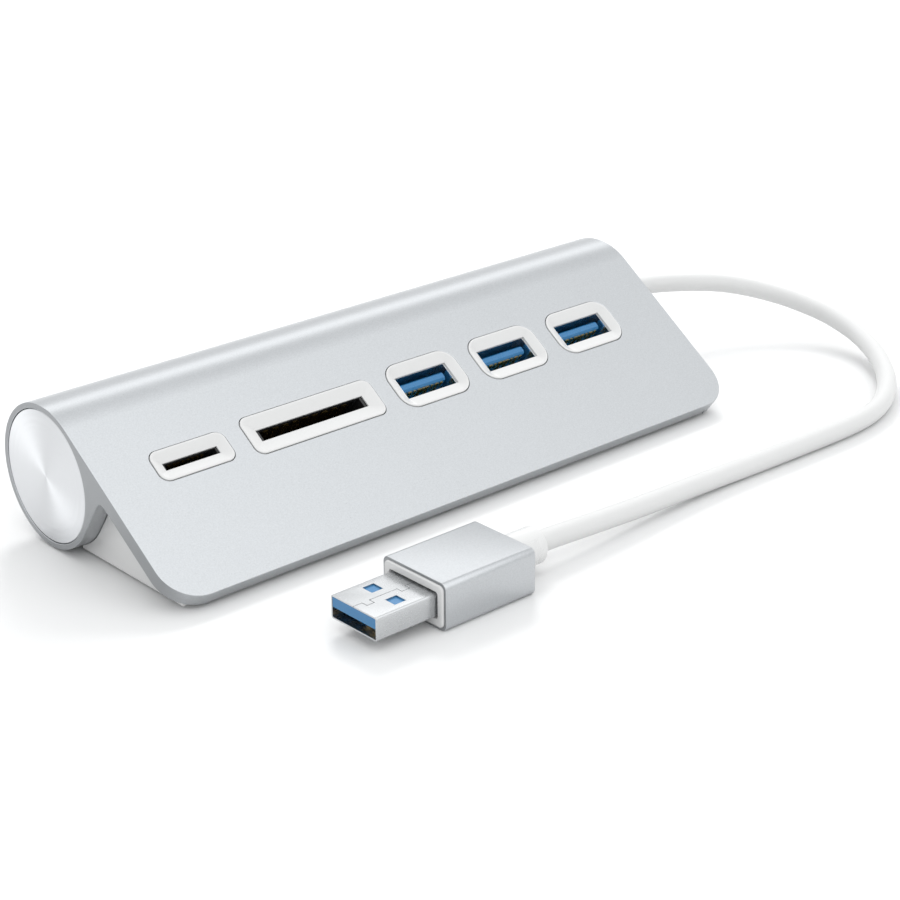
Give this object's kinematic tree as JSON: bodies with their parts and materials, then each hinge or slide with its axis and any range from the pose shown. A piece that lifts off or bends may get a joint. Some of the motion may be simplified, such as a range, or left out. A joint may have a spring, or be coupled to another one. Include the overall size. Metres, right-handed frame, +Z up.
{
  "type": "usb hub",
  "caption": "Desktop USB hub: aluminium tube back with a sloping port plate, white-bezelled USB sockets and card slots, and a short captive white lead with a USB plug.",
  "frame": {"origin": "bottom centre of the hub without its lead, on the desk under the feet", "axes": "+X along the hub towards the end where the lead leaves, -Y the side that the sloping port plate faces, +Z up"},
  "size_m": [0.192, 0.0882, 0.0284],
  "materials": {
    "anodised_aluminium": "bead-blasted and clear anodised",
    "turned_aluminium": "spun face, clear anodised",
    "white_plastic": "gloss",
    "cord_jacket": "satin flexible PVC",
    "foot_rubber": "matt",
    "sheet_steel": "plated sheet",
    "nickelled_steel": "nickel plated",
    "blue_plastic": "satin",
    "gold_plated_contacts": "gold plated",
    "black_plastic": "satin",
    "chip_package": "matt",
    "circuit_board": "solder mask",
    "can_metal": "satin",
    "chip_ceramic": "matt",
    "header_plastic": "matt",
    "wire_insulation": "satin"
  },
  "bodies": {
    "root": {"body_extrusion": "anodised_aluminium", "left_end_cap": "turned_aluminium", "right_end_cap": "turned_aluminium", "bottom_cover": "white_plastic", "cover_screws": "sheet_steel", "rubber_feet": "foot_rubber", "microsd_bezel": "white_plastic", "sd_bezel": "white_plastic", "usb_bezel_1": "white_plastic", "usb_bezel_2": "white_plastic", "usb_bezel_3": "white_plastic", "usb_shell_1": "nickelled_steel", "usb_shell_2": "nickelled_steel", "usb_shell_3": "nickelled_steel", "usb_tongue_1": "blue_plastic", "usb_tongue_2": "blue_plastic", "usb_tongue_3": "blue_plastic", "usb_contacts_1": "gold_plated_contacts", "usb_contacts_2": "gold_plated_contacts", "usb_contacts_3": "gold_plated_contacts", "sd_housing": "black_plastic", "sd_shield": "sheet_steel", "sd_contacts": "gold_plated_contacts", "microsd_housing": "black_plastic", "microsd_shield": "sheet_steel", "microsd_contacts": "gold_plated_contacts", "main_board": "circuit_board", "hub_controller": "chip_package", "reader_controller": "chip_package", "crystals": "can_metal", "regulator": "chip_package", "capacitors": "can_metal", "chip_parts": "chip_ceramic", "lead_header": "header_plastic", "lead_wires": "wire_insulation", "inner_lead": "cord_jacket", "cable_gland": "white_plastic", "cable": "cord_jacket", "plug_collar": "white_plastic", "plug_sleeve": "anodised_aluminium", "plug_moulding": "white_plastic", "plug_shell": "nickelled_steel", "plug_insulator": "blue_plastic", "plug_contacts": "gold_plated_contacts", "plug_board": "circuit_board", "plug_lead": "cord_jacket"}
  },
  "joints": []
}
